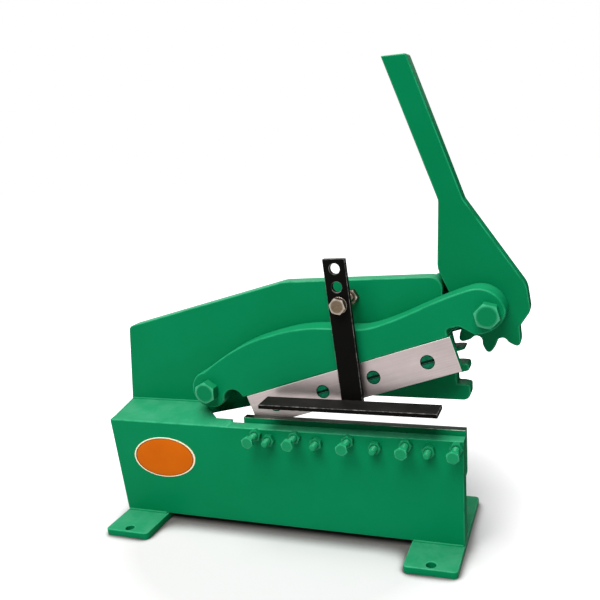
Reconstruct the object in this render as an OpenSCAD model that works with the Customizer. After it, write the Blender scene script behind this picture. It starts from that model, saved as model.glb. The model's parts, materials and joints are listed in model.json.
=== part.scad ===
// Geared hand shearing machine for the bench, jaw and handle in the open position.
// Millimetres, +Z up, +X towards the handle end, -Y towards the operator.
// The origin is the middle of the four foot holes, on the bench surface.

/* [Base] */
// Length over the two feet
base_l = 440; // [430:1:450]
// Width of one foot strip
foot_w = 60; // [54:1:66]
// Thickness of a foot strip
foot_t = 9; // [8:0.5:12]
// Length of a foot strip, front to back
foot_len = 168; // [164:1:180]
// Foot hole centre to the end of the strip
hole_end = 9; // [8:0.5:16]
// Foot hole diameter
hole_d = 11; // [9:0.5:13]
// Height of the front plate's top edge
plate_h = 136; // [132:1:138]
// Thickness of the front plate
plate_t = 15; // [13:0.5:17]
// How far the foot strips stand out in front of the plate
lip = 51; // [48:1:54]
// Rise of the shelf from the front edge to the frame plate
shelf_rise = 6.7; // [5:0.1:8]

/* [Frame plate] */
// Thickness of the frame plate and of the handle
frame_t = 20; // [16:1:24]
// Height of the frame's top edge at the handle end
frame_top = 301.5; // [299:0.5:306]
// Height of the frame's lower edge at the handle end
frame_under = 161; // [158:0.5:164]
// Height where the sloping top begins at the tail
frame_tail = 241; // [232:1:250]
// Corner radius at the handle end
frame_r = 14; // [8:1:18]

/* [Pivots] */
// Main bolt, distance from the middle of the base
main_x = -91; // [-93:0.5:-89]
// Main bolt, height above the bench
main_z = 171.5; // [170:0.5:173]
// Distance from main bolt to handle bolt
reach = 348; // [347:0.5:349]
// Angle of the line from main bolt to handle bolt
rise_a = 16.25; // [16:0.05:16.5]
// Diameter of both pivot bolts
pivot_d = 16; // [14:1:18]
// Height of the pivot bolts' heads
pivot_head = 13; // [10:0.5:15]
// Thickness of the washers between the moving plates
gap_t = 2; // [1.5:0.1:3]

/* [Gear teeth] */
// Module of the teeth
gear_m = 8; // [7.9:0.02:8.1]
// Tip radius of the handle's teeth
tip_r = 51; // [49.5:0.25:51.25]
// Free play between the flanks
backlash = 0.6; // [0.5:0.1:1.2]
// How much each flank of the handle's teeth stands out into the rack's share of the pitch
tooth_plus = 2.2; // [1.8:0.1:2.4]

/* [Blades] */
// Length of the upper blade
blade_l = 257; // [252:1:260]
// Width of the upper blade
blade_w = 40; // [36:0.5:44]
// Thickness of both blades
blade_t = 10; // [8:0.5:12]
// Length of the lower blade
lower_l = 264; // [258:1:268]
// Height of the lower blade
lower_h = 42; // [38:0.5:46]
// How far the lower blade stands above the front plate
lower_up = 6.5; // [5:0.5:9]

/* [Jaw] */
// Thickness of the jaw
jaw_t = 30; // [26:1:34]
// Radius of the jaw's round end at the main bolt
jaw_r = 23; // [21:0.5:25]
// Height of the jaw's back above the line of the bolts
jaw_hump = 42.4; // [38:0.2:46]
// Height of the low place in the jaw's back
jaw_saddle = 19.2; // [17:0.2:22]
// Radius of the jaw's nose at the handle bolt
jaw_crest = 29.3; // [28:0.1:31]

/* [Handle] */
// Width of the handle bar
bar_w = 24; // [20:0.5:28]
// Lean of the handle bar from upright
bar_lean = 21; // [19:0.5:23]
// Height of the bar's end above the handle bolt
bar_up = 254.6; // [220:1:300]

/* [Hold-down] */
// Length of the hold-down strip
strip_l = 204; // [190:1:210]
// Width of the hold-down strip
strip_w = 28; // [24:1:32]
// Thickness of the hold-down strip
strip_t = 5; // [4:0.5:6]
// Top of the strip above the front plate
strip_up = 36; // [34:0.5:38]
// Width of the hold-down upright
post_w = 25; // [23:0.5:28]
// Thickness of the hold-down upright
post_t = 6; // [5:0.5:8]
// Lean of the hold-down upright
post_lean = 3.6; // [2:0.2:5]
// Spacing of the holes in the upright
post_pitch = 19.5; // [18:0.5:22]

/* [Fasteners] */
// Diameter of the push bolts and studs
row_d = 8; // [6:1:8]
// Diameter of the blade screws
screw_d = 8; // [6:1:8]
// Diameter of the hold-down bolt
post_d = 10; // [8:1:12]

/* [Hidden] */
$fn = 96;
// clearance round every shaft
fit = 0.05;
shear_gap = 0.1;
blade_gap = 1;
joint_in = 1;

// feet
hole_dx = base_l - foot_w;
hole_dy = foot_len - 2 * hole_end;
foot_r = 5;

// layers from front to back
plate_y = lip - foot_len / 2;
plate_back = plate_y + plate_t;
lower_y = plate_back + blade_gap;
jaw_y = lower_y + blade_t + shear_gap;
jaw_back = jaw_y + jaw_t;
frame_y = jaw_back + gap_t;
frame_back = frame_y + frame_t;
link_y = frame_back + gap_t;
link_t = frame_t / 2;

left_x = -base_l / 2;
right_x = base_l / 2;
plate_over = 4;
tail_x = left_x - 2 * plate_over;
shelf_slope = shelf_rise / (frame_y - plate_y);
shelf_t = 14;
shelf_step = 5;
shelf_tongue = 22;
shelf_slant = 38;
lower_x = right_x - lower_l;
notch_w = 16;
shelf_end = lower_x - notch_w;
lower_top = plate_h + lower_up;
seat_h = 12;

// gearing: the handle is a sector, with long thick teeth; the rack's teeth are short and thin
pressure = 14.5;
teeth = 9.6;
pitch_a = 360 / teeth;
gear_r = gear_m * teeth / 2;
rack_r = reach - gear_r;
rack_teeth = 2 * rack_r / gear_m;
rack_pitch = 360 / rack_teeth;
rack_tip = rack_r + gear_m / 8;
small_short = 1.5;
small_cut = 1.1;
small_tip = rack_tip - small_short;
tooth_play = 1;
root_r = reach - rack_tip - tooth_play;
rack_root = reach - tip_r - tooth_play;
tooth_turn = -93.9;
first_tooth = -2;
last_tooth = 1;
centre_a = rise_a - 180;
flank_steps = 3;
root_fillet = 6.5;
rack_fillet = 3;
tip_round = 3;

// frame plate outline
tail_in = 14;
tail_r = 7;
bend_x = 5;
bend_drop = 4.5;
bend_r = 24;
edge_play = 0.5;
edge_in = 1.3;
block_r = 13;
under_x = 37;
under_r = 60;
under_slope = 0.232;
crotch_x = left_x + 102;
crotch_r = 20;

// handle, measured from the handle bolt
flare_up = 112;
flare_r = 12;
hip = [35.5, 22, 25];
bulge = [39.8, -5, 10];
notch = [28.8, -22, 4];
heel = [-45.5, 16, 6];
elbow = [-57.2, 41, 26];
neck_in = 1.5;
grip_in = 2.5;
handle_x = main_x + reach * cos(rise_a);
handle_z = main_z + reach * sin(rise_a);

// jaw, measured along the line of the bolts
blade_in = 46;
blade_up = 3.5;
blade_drop = jaw_r - blade_up;
blade_turn = 1.5;
hump_at = 0.265 * reach;
saddle_at = 0.644 * reach;
nose_in = 11.5;
nose_drop = 19.5;
crest_at = reach - nose_in;
hump_warp = 1.6;
tail_back = 6;
tail_dip = 2.8;
heel_cut = 12.5;
heel_in = 19;
relief_h = 8;
relief_back = 2;
relief_l = 12;
relief_r = 7;
web_h = 0.8 * blade_w;
web_in = 12;
web_short = 18;
screw_n = 4;
screw_pitch = blade_l / screw_n;
screw_head = 2 * screw_d;
screw_grip = 15;
screw_l = blade_t + screw_grip;

// hold-down
post_in = 14;
post_y = plate_y + post_in;
strip_x = -8;
strip_z = plate_h + strip_up;
post_off = 0.7;
post_foot = strip_x + strip_l / 2 + post_off;
post_h = 158;
post_grip = 2;
post_end = 10.5;
bolt_past = 8;
pivot_past = 4;
main_turn = 27;
handle_turn = 46;
spare_play = 0.8;
link_lug = [48, 30, 17];
grip_up = post_h - post_end - post_grip * post_pitch;
grip_x = post_foot - grip_up * tan(post_lean);
grip_z = strip_z + grip_up;

// the row of small fasteners
push_at = [-21, 28, 92, 158, 213];
stud_at = [-5, 54, 123, 183];
push_down = 6.5;
stud_down = 12;
push_z = plate_h - push_down;
stud_z = plate_h - stud_down;
push_out = 27;
stud_out = 17;

green = [0.03, 0.51, 0.31];
steel = [0.72, 0.69, 0.67];
black = [0.06, 0.06, 0.06];

// a flat outline stood upright, from y to y + t
module slab(y, t) {
    translate([0, y + t, 0]) rotate([90, 0, 0]) linear_extrude(t) children();
}

// a round bar along Y at x, z
module rod(x, z, d, y0, y1) {
    translate([x, y1, z]) rotate([90, 0, 0]) cylinder(d = d, h = y1 - y0);
}

// a hexagon across flats af with its outer corners turned off, face towards -Y
module hex_piece(x, z, af, y0, y1, turn = 0) {
    h = y1 - y0;
    corner = af / sqrt(3);
    translate([x, y1, z]) rotate([90, 0, 0]) intersection() {
        rotate([0, 0, turn]) cylinder(r = corner, h = h, $fn = 6);
        cylinder(r1 = af / 2 + h * sqrt(3), r2 = af / 2, h = h);
    }
}

module hex_nut(x, z, d, y0, y1) {
    difference() {
        hex_piece(x, z, across(d), y0, y1);
        rod(x, z, d + 2 * fit, y0 - 1, y1 + 1);
    }
}

module washer(x, z, d, y0, y1) {
    difference() {
        rod(x, z, rim(d), y0, y1);
        rod(x, z, d + 2 * fit, y0 - 1, y1 + 1);
    }
}

// usual sizes that go with a bolt diameter
function across(d) = d < 16 ? 1.625 * d : 1.5 * d;
function head_h(d) = 0.63 * d;
function nut_h(d) = 0.8 * d;
function washer_t(d) = d < 16 ? 2 : 3;
function rim(d) = d < 16 ? 1.85 * d : 1.7 * d;

// corner points of an outline, each rounded with its own radius as far as its sides allow: [x, z, r]
function unit(v) = v / norm(v);
function corner_pts(a, b, c) =
    let (p = [b[0], b[1]], ab = [a[0], a[1]] - p, cb = [c[0], c[1]] - p)
    let (u = unit(ab), w = unit(cb), half = acos(u * w) / 2)
    let (r = min(b[2], 0.48 * min(norm(ab), norm(cb)) * tan(half)))
    let (mid = p + unit(u + w) * r / sin(half), turn = sign(u[0] * w[1] - u[1] * w[0]))
    let (start = p + u * r / tan(half) - mid, sweep = turn * (180 - 2 * half), n = 8)
    [for (i = [0 : n]) let (g = -sweep * i / n)
        mid + [start[0] * cos(g) - start[1] * sin(g), start[0] * sin(g) + start[1] * cos(g)]];
function rounded(pts) = [for (i = [0 : len(pts) - 1])
    let (n = len(pts), b = pts[i])
    each b[2] > 0 ? corner_pts(pts[(i + n - 1) % n], b, pts[(i + 1) % n]) : [[b[0], b[1]]]];

// involute flank: half angle of a tooth at radius r, for n teeth on pitch radius pr, thicker by plus
function inv(a) = tan(a) * 180 / PI - a;
function play(r) = backlash / 4 / r * 180 / PI;
function half_at(r, pr, n, plus) =
    let (base = pr * cos(pressure), more = plus / pr * 180 / PI)
    90 / n + more - play(pr) + inv(pressure) - (r > base ? inv(acos(base / r)) : 0);
function polar(r, a) = [r * cos(a), r * sin(a)];

// one flank from root to tip as outline points, with the root and the tip rounded
function flank_rows(low, high, fillet) = concat([low],
    [for (i = [0 : flank_steps]) low + fillet + (high - low - fillet) * i / flank_steps]);
function round_at(i, n, fillet) = i == 0 ? fillet : i == n - 1 ? tip_round : 0;
function flipped(list) = [for (i = [len(list) - 1 : -1 : 0]) list[i]];

// a tooth of the handle at angle a, from its right root over the tip to its left root
function handle_flank(a, side) =
    let (rows = flank_rows(root_r, tip_r, root_fillet), n = len(rows))
    [for (i = [0 : n - 1]) concat(polar(rows[i], a + side * half_at(rows[i], gear_r, teeth, tooth_plus)),
        round_at(i, n, root_fillet))];
function handle_tooth(a) = concat(handle_flank(a, 1), flipped(handle_flank(a, -1)));
// the last tooth rises from the notch under the hub instead of a root of its own
function after_first(list) = [for (i = [1 : len(list) - 1]) list[i]];

// one side of the rack space at angle a as seen from the main bolt, from root to the tip radius high
function rack_flank(a, side, high) =
    let (rows = flank_rows(rack_root, high, rack_fillet), n = len(rows))
    [for (i = [0 : n - 1])
        let (wide = rack_pitch / 2 - half_at(rows[i], rack_r, rack_teeth, -tooth_plus))
        concat([main_x, main_z] + polar(rows[i], a + side * wide), round_at(i, n, rack_fillet))];
function rack_space(a, above, below) = concat(flipped(rack_flank(a, 1, above)), rack_flank(a, -1, below));
function space_angle(k) = rise_a - (tooth_turn + k * pitch_a - centre_a) * gear_r / rack_r;

module front_plate() {
    color(green) difference() {
        union() {
            slab(plate_y, plate_t) polygon([[left_x, foot_t], [right_x, foot_t], [right_x, plate_h],
                [left_x - plate_over, plate_h]]);
            translate([left_x - plate_over, 0, 0]) rotate([90, 0, 90])
                linear_extrude(shelf_end - left_x + plate_over)
                polygon([[plate_y, plate_h], [plate_back, plate_h],
                    [plate_back, plate_h + plate_t * shelf_slope]]);
        }
        for (x = push_at) rod(x, push_z, row_d + 2 * fit, plate_y - 1, plate_back + 1);
        for (x = stud_at) rod(x, stud_z, row_d + 2 * fit, plate_y - 1, plate_back + 1);
    }
}

module foot(x0) {
    end = foot_len / 2;
    color(green) difference() {
        linear_extrude(foot_t) polygon(rounded([[x0, -end, foot_r], [x0 + foot_w, -end, foot_r],
            [x0 + foot_w, end, foot_r], [x0, end, foot_r]]));
        for (s = [-1, 1]) translate([sign(x0) * hole_dx / 2, s * hole_dy / 2, -1])
            cylinder(d = hole_d, h = foot_t + 2);
    }
}
module foot_left() { foot(left_x); }
module foot_right() { foot(right_x - foot_w); }

module shelf_plate() {
    low = plate_h - shelf_t;
    step = plate_back + shelf_step;
    tongue_x = shelf_end - shelf_tongue;
    color(green) intersection() {
        translate([0, 0, low]) linear_extrude(shelf_t + shelf_rise + 1) polygon([
            [left_x - plate_over, plate_back], [tail_x, frame_y], [tongue_x - shelf_slant, frame_y],
            [tongue_x, step], [shelf_end, step], [shelf_end, plate_back]]);
        translate([tail_x - 1, 0, 0]) rotate([90, 0, 90]) linear_extrude(shelf_end - tail_x + 2)
            polygon([[plate_back, low], [frame_y, low], [frame_y, plate_h + shelf_rise],
                [plate_back, plate_h + plate_t * shelf_slope]]);
    }
}

module frame_outline() {
    edge_x = handle_x - tip_r - edge_play;
    block_x = main_x + rack_tip;
    crotch_z = frame_under - (under_x - crotch_x) * under_slope;
    edge_foot = [main_x, main_z] + polar(rack_root, space_angle(first_tooth) + edge_in);
    small = first_tooth + 1;
    // the tooth below the handle's resting tooth is cut thin on its upper side and a little shorter
    rack_points = concat([concat(edge_foot, rack_fillet)],
        rack_flank(space_angle(first_tooth), -1, rack_tip),
        flipped(rack_flank(space_angle(small), 1, rack_tip)),
        rack_flank(space_angle(small) - small_cut, -1, small_tip),
        rack_space(space_angle(small + 1), small_tip, rack_tip),
        [for (k = [small + 2 : last_tooth]) each rack_space(space_angle(k), rack_tip, rack_tip)]);
    difference() {
        polygon(rounded(concat(
            [[left_x, foot_t, 0], [tail_x, plate_h + shelf_rise, 0], [tail_x + tail_in, frame_tail, tail_r],
                [bend_x, frame_top - bend_drop, bend_r], [edge_x, frame_top, frame_r]],
            rack_points,
            [[block_x, frame_under, block_r], [under_x, frame_under, under_r],
                [crotch_x, crotch_z, crotch_r], [left_x + foot_w, foot_t, 0]])));
        translate([main_x, main_z]) circle(d = pivot_d + 2 * fit);
        translate([grip_x, grip_z]) circle(d = post_d + 2 * fit);
    }
}
module frame_plate() {
    color(green) slab(frame_y, frame_t) frame_outline();
}

module blade_seat() {
    color(green) translate([lower_x, plate_back, lower_top - lower_h - seat_h])
        cube([lower_l, blade_t + blade_gap, seat_h]);
}

module lower_blade() {
    color(steel) difference() {
        translate([lower_x, lower_y, lower_top - lower_h]) cube([lower_l, blade_t, lower_h]);
        for (x = stud_at) rod(x, stud_z, row_d + 2 * fit, lower_y - 1, lower_y + blade_t + 1);
    }
}

module push_bolts() {
    head = plate_y - push_out + head_h(row_d);
    color(green) for (x = push_at) {
        hex_piece(x, push_z, across(row_d), plate_y - push_out, head);
        rod(x, push_z, row_d, head, lower_y);
    }
}
module push_nuts() {
    color(green) for (x = push_at) hex_nut(x, push_z, row_d, plate_y - nut_h(row_d), plate_y);
}
module blade_studs() {
    color(green) for (x = stud_at) rod(x, stud_z, row_d, plate_y - stud_out, lower_y + blade_t);
}
module stud_nuts() {
    color(green) for (x = stud_at) hex_nut(x, stud_z, row_d, plate_y - nut_h(row_d), plate_y);
}

// a long hexagon bolt from the jaw's front through to behind the rear link
module pivot_bolt(x, z, turn) {
    hex_piece(x, z, across(pivot_d), jaw_y - pivot_head, jaw_y, turn);
    rod(x, z, pivot_d, jaw_y, link_y + link_t + washer_t(pivot_d) + nut_h(pivot_d) + pivot_past);
}
module pivot_nut(x, z) {
    y0 = link_y + link_t + washer_t(pivot_d);
    mirror([0, 1, 0]) hex_nut(x, z, pivot_d, -y0 - nut_h(pivot_d), -y0);
}
module pivot_washers(x, z) {
    washer(x, z, pivot_d, jaw_back, frame_y);
    washer(x, z, pivot_d, frame_back, link_y);
    washer(x, z, pivot_d, link_y + link_t, link_y + link_t + washer_t(pivot_d));
}
module main_bolt() { color(green) pivot_bolt(main_x, main_z, main_turn); }
module main_nut() { color(green) pivot_nut(main_x, main_z); }
module main_washers() { color(green) pivot_washers(main_x, main_z); }
module handle_bolt() { color(green) pivot_bolt(handle_x, handle_z, handle_turn); }
module handle_nut() { color(green) pivot_nut(handle_x, handle_z); }
module handle_washers() { color(green) pivot_washers(handle_x, handle_z); }

// everything on the jaw is drawn along the line of the bolts and then raised to rise_a
module on_jaw() {
    translate([main_x, 0, main_z]) rotate([0, -rise_a, 0]) children();
}
module at_blade() {
    translate([blade_in, 0, -blade_drop]) rotate([0, -blade_turn, 0]) children();
}

// the jaw's back: a rise to the hump, a fall to the saddle, a rise to the crest and the round nose
function ease(t) = (1 - cos(180 * t)) / 2;
jaw_steps = 14;
tail_top = jaw_r - tail_dip;
jaw_back_line = concat(
    [for (i = [0 : jaw_steps]) let (t = i / jaw_steps)
        [(hump_at + tail_back) * t - tail_back, tail_top + (jaw_hump - tail_top) * sin(90 * t)]],
    [for (i = [1 : jaw_steps]) let (t = i / jaw_steps)
        [hump_at + (saddle_at - hump_at) * t, jaw_hump + (jaw_saddle - jaw_hump) * ease(pow(t, hump_warp))]],
    [for (i = [1 : jaw_steps]) let (t = i / jaw_steps)
        [saddle_at + (crest_at - saddle_at) * t, jaw_saddle + (jaw_crest - jaw_saddle) * ease(t)]],
    [for (i = [1 : jaw_steps]) let (t = i / jaw_steps)
        [crest_at + jaw_crest * sin(90 * t), jaw_crest * cos(90 * t)]],
    [for (i = [1 : jaw_steps]) let (t = i / jaw_steps)
        [crest_at + jaw_crest * cos(90 * t), -nose_drop * sin(90 * t)]]);

module jaw_outline() {
    blade_end = [blade_in + blade_l * cos(blade_turn), blade_l * sin(blade_turn) - blade_drop];
    difference() {
        union() {
            polygon(concat(jaw_back_line,
                [blade_end, [blade_in, -blade_drop], [jaw_r, -blade_drop], [0, 0]]));
            circle(r = jaw_r);
        }
        translate([blade_in - heel_in, -blade_drop]) circle(r = heel_cut);
        translate(blade_end) polygon(rounded([[-relief_back, -relief_h, 0],
            [-relief_back, relief_h, relief_r / 2], [relief_l, relief_h, relief_r],
            [relief_l + 2 * relief_h, -relief_h, 0]]));
        circle(d = pivot_d + 2 * fit);
        translate([reach, 0]) circle(d = pivot_d + 2 * fit);
    }
}

module screw_places() {
    for (i = [0 : screw_n - 1]) translate([screw_pitch * (i + 0.5), 0, -blade_w / 2]) children();
}

module jaw() {
    color(green) on_jaw() difference() {
        union() {
            slab(jaw_y, jaw_t) jaw_outline();
            at_blade() translate([web_in, jaw_y + blade_t, -web_h])
                cube([blade_l - web_in - web_short, jaw_t - blade_t, web_h + joint_in]);
        }
        at_blade() screw_places()
            rod(0, 0, screw_d + 2 * fit, jaw_y + blade_t - 1, jaw_y + screw_l + 1);
    }
}

module upper_blade() {
    color(steel) on_jaw() at_blade() difference() {
        translate([0, jaw_y, -blade_w]) cube([blade_l, blade_t, blade_w]);
        screw_places() {
            rod(0, 0, screw_d + 2 * fit, jaw_y - 1, jaw_y + blade_t + 1);
            countersink(2 * fit);
        }
    }
}

module countersink(extra) {
    deep = (screw_head - screw_d) / 2;
    translate([0, jaw_y + deep, 0]) rotate([90, 0, 0])
        cylinder(d1 = screw_d + extra, d2 = screw_head + extra, h = deep);
}

module blade_screws() {
    slot = screw_d / 4;
    color(green) on_jaw() at_blade() screw_places() difference() {
        union() {
            countersink(0);
            rod(0, 0, screw_d, jaw_y + 1, jaw_y + screw_l);
        }
        translate([-screw_d, jaw_y - 1, -slot / 2]) cube([2 * screw_d, 1 + slot * 0.75, slot]);
    }
}

module rear_link() {
    link_r = 0.9 * jaw_r;
    color(green) on_jaw() slab(link_y, link_t) difference() {
        union() {
            translate([0, -link_r]) square([reach, 2 * link_r]);
            circle(r = link_r);
            translate([reach, 0]) circle(r = link_r);
            hull() {
                translate([reach - link_lug[0], link_lug[1]]) circle(r = link_lug[2]);
                translate([reach - link_lug[0], 0]) circle(r = link_lug[2]);
            }
        }
        circle(d = pivot_d + 2 * fit);
        translate([reach, 0]) circle(d = pivot_d + 2 * fit);
    }
}

module handle_outline() {
    side = bar_w / 2 / cos(bar_lean);
    neck = flare_up * tan(bar_lean) - neck_in;
    top = bar_up * tan(bar_lean) - grip_in;
    polygon(rounded(concat(
        [[-top - side, bar_up, 0], [-top + side, bar_up, 0], [-neck + side, flare_up, flare_r], hip, bulge,
            notch],
        after_first(handle_tooth(tooth_turn + last_tooth * pitch_a)),
        [for (k = [last_tooth - 1 : -1 : first_tooth]) each handle_tooth(tooth_turn + k * pitch_a)],
        [heel, elbow, [-neck - side, flare_up, flare_r]])));
}
module handle() {
    color(green) translate([handle_x, 0, handle_z]) slab(frame_y, frame_t) difference() {
        handle_outline();
        circle(d = pivot_d + 2 * fit);
    }
}

module hold_down_bolt() {
    seat = post_y - washer_t(post_d);
    color(steel) {
        hex_piece(grip_x, grip_z, across(post_d), seat - head_h(post_d), seat);
        rod(grip_x, grip_z, post_d, seat, frame_back + nut_h(post_d) + bolt_past);
    }
}
module hold_down_nuts() {
    color(steel) {
        hex_nut(grip_x, grip_z, post_d, post_y + post_t, post_y + post_t + nut_h(post_d));
        hex_nut(grip_x, grip_z, post_d, frame_y - nut_h(post_d), frame_y);
        mirror([0, 1, 0]) hex_nut(grip_x, grip_z, post_d, -frame_back - nut_h(post_d), -frame_back);
    }
}
module hold_down_washer() {
    color(steel) washer(grip_x, grip_z, post_d, post_y - washer_t(post_d), post_y);
}

module hold_down_post() {
    shift = post_h * tan(post_lean);
    drop = strip_t * tan(post_lean);
    low = [post_foot + drop, strip_z - strip_t];
    high = [post_foot - shift, strip_z + post_h];
    half = post_w / 2;
    color(black) slab(post_y, post_t) difference() {
        polygon([[low[0] - half, low[1]], [low[0] + half, low[1]], [high[0] + half, high[1]],
            [high[0] - half, high[1]]]);
        for (i = [0 : post_grip]) let (up = grip_up + i * post_pitch)
            translate([post_foot - up * tan(post_lean), strip_z + up])
                circle(d = post_d + 2 * (i == 0 ? fit : spare_play));
    }
}
module hold_down_strip() {
    color(black) translate([strip_x, post_y - strip_w, strip_z - strip_t]) cube([strip_l, strip_w, strip_t]);
}

front_plate();
foot_left();
foot_right();
shelf_plate();
frame_plate();
blade_seat();
lower_blade();
push_bolts();
push_nuts();
blade_studs();
stud_nuts();
main_bolt();
main_nut();
main_washers();
jaw();
upper_blade();
blade_screws();
rear_link();
handle_bolt();
handle_nut();
handle_washers();
handle();
hold_down_bolt();
hold_down_nuts();
hold_down_washer();
hold_down_post();
hold_down_strip();
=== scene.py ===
import json
import math

import bmesh
import bpy
from mathutils import Matrix, Vector


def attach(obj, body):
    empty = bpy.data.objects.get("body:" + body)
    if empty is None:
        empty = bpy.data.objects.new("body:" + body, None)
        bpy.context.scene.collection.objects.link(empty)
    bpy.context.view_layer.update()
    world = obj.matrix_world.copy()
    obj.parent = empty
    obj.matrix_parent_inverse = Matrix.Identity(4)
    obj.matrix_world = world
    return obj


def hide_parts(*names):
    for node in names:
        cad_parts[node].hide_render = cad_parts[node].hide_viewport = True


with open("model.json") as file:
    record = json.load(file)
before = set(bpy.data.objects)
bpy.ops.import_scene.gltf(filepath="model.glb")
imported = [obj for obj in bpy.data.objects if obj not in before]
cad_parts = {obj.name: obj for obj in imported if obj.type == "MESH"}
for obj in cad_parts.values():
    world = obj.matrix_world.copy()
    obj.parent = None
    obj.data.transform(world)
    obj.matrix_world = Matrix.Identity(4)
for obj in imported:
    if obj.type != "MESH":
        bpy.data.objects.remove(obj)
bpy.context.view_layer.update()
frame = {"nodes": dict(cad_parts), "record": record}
mm = 0.001
scene = bpy.context.scene
bodyOf = {n: b for b, group in frame["record"]["behaviour"]["bodies"].items() for n in group}
print("frame loaded:", len(frame["nodes"]), "nodes")


# node helpers, for shaders and geometry alike
def plug(tree, value, socket):
    if isinstance(value, bpy.types.NodeSocket):
        tree.links.new(value, socket)
    else:
        socket.default_value = value


def addNode(tree, kind, feeds=None, **settings):
    node = tree.nodes.new(kind)
    for name, value in settings.items():
        setattr(node, name, value)
    for key, value in (feeds or {}).items():
        plug(tree, value, node.inputs[key])
    return node


def calc(tree, operation, *values):
    return addNode(tree, "ShaderNodeMath", dict(enumerate(values)), operation=operation).outputs[0]


def spread(tree, value, low, high, toLow=0.0, toHigh=1.0):
    feeds = {0: value, 1: low, 2: high, 3: toLow, 4: toHigh}
    return addNode(tree, "ShaderNodeMapRange", feeds, clamp=True).outputs[0]


def blendColour(tree, share, first, second):
    node = addNode(tree, "ShaderNodeMix", {0: share, 6: first, 7: second}, data_type="RGBA")
    return node.outputs[2]


def newGroup(name, kind, given, made):
    tree = bpy.data.node_groups.new(name, kind)
    for label, (socketType, value) in given.items():
        socket = tree.interface.new_socket(label, in_out="INPUT", socket_type=socketType)
        if value is not None:
            socket.default_value = value
    for label, socketType in made.items():
        tree.interface.new_socket(label, in_out="OUTPUT", socket_type=socketType)
    start = tree.nodes.new("NodeGroupInput")
    end = tree.nodes.new("NodeGroupOutput")
    return tree, start.outputs, end.inputs


number = "NodeSocketFloat"
wholeNumber = "NodeSocketInt"
geometry = "NodeSocketGeometry"


def numbers(*labels):
    return {label: (number, None) for label in labels}


# shared finishes: edge wear that also carries a painted highlight, sprayed skin, settled dust that is also a
# painted sheen on upward faces, ground lines
def objectPlace(tree):
    return addNode(tree, "ShaderNodeTexCoord").outputs["Object"]


def noise(tree, place, scale, detail=3.0, rough=0.55):
    feeds = {"Vector": place, "Scale": scale, "Detail": detail, "Roughness": rough}
    return addNode(tree, "ShaderNodeTexNoise", feeds).outputs["Fac"]


wearAndPaintedLightSettings = {"detail": 6.0, "rough": 0.65, "blur": 0.08}


# rims get the look's edge colour in patches: edge wear, and also a painted highlight on lit rims (on the screws a
# painted shade)
def buildEdgeWearAndPaintedLight():
    given = numbers("Rim", "Scale", "Amount")
    tree, source, result = newGroup("edgeWearAndPaintedLight", "ShaderNodeTree", given, {"WearAndPaintedLight": number})
    patches = noise(tree, objectPlace(tree), source["Scale"], wearAndPaintedLightSettings["detail"], wearAndPaintedLightSettings["rough"])
    limit = calc(tree, "SUBTRACT", 1.0, source["Amount"])
    low = calc(tree, "SUBTRACT", limit, wearAndPaintedLightSettings["blur"])
    high = calc(tree, "ADD", limit, wearAndPaintedLightSettings["blur"])
    patchy = spread(tree, patches, low, high)
    plug(tree, calc(tree, "MULTIPLY", patchy, source["Rim"]), result["WearAndPaintedLight"])
    return tree


skinSettings = {
    "detail": 2.0, "broadScale": 0.28, "broadShare": 0.7, "fineShare": 0.3,
    "cloudDetail": 4.0, "cloudSpan": (0.3, 0.7),
}


def buildPaintSkin():
    made = {"Height": number, "Tone": number}
    tree, source, result = newGroup("paintSkin", "ShaderNodeTree", numbers("Peel", "Cloud"), made)
    place = objectPlace(tree)
    fine = noise(tree, place, source["Peel"], skinSettings["detail"])
    broadPeel = calc(tree, "MULTIPLY", source["Peel"], skinSettings["broadScale"])
    broad = noise(tree, place, broadPeel, skinSettings["detail"])
    fineHeight = calc(tree, "MULTIPLY", fine, skinSettings["fineShare"])
    plug(tree, calc(tree, "MULTIPLY_ADD", broad, skinSettings["broadShare"], fineHeight), result["Height"])
    clouds = noise(tree, place, source["Cloud"], skinSettings["cloudDetail"])
    plug(tree, spread(tree, clouds, *skinSettings["cloudSpan"]), result["Tone"])
    return tree


dustAndSheenSettings = {
    "scale": 38.0, "detail": 8.0, "rough": 0.7, "upwardSpan": (0.35, 0.95),
    "speckSpan": (0.42, 0.72), "speckShare": (0.4, 1.0), "roughness": 0.35,
}


# faces that point up are made paler: settled dust, and also a painted sheen of the light from above
def buildDustAndSheenFilm():
    tree, source, result = newGroup("dustAndSheenFilm", "ShaderNodeTree", numbers("Amount"), {"DustAndSheen": number})
    coords = addNode(tree, "ShaderNodeTexCoord")
    facing = addNode(tree, "ShaderNodeSeparateXYZ", {0: coords.outputs["Normal"]}).outputs["Z"]
    upward = spread(tree, facing, *dustAndSheenSettings["upwardSpan"])
    grains = noise(tree, coords.outputs["Object"], *(dustAndSheenSettings[k] for k in ("scale", "detail", "rough")))
    specks = spread(tree, grains, *dustAndSheenSettings["speckSpan"], *dustAndSheenSettings["speckShare"])
    plug(tree, calc(tree, "MULTIPLY", calc(tree, "MULTIPLY", upward, specks), source["Amount"]), result["DustAndSheen"])
    return tree


grindSettings = {
    "detail": 3.0, "lineSpan": (0.35, 0.75), "sheenSpan": (0.3, 0.7),
    "stainScale": 22.0, "stainDetail": 5.0, "stainRough": 0.6, "stainSpan": (0.35, 0.7),
}


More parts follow.
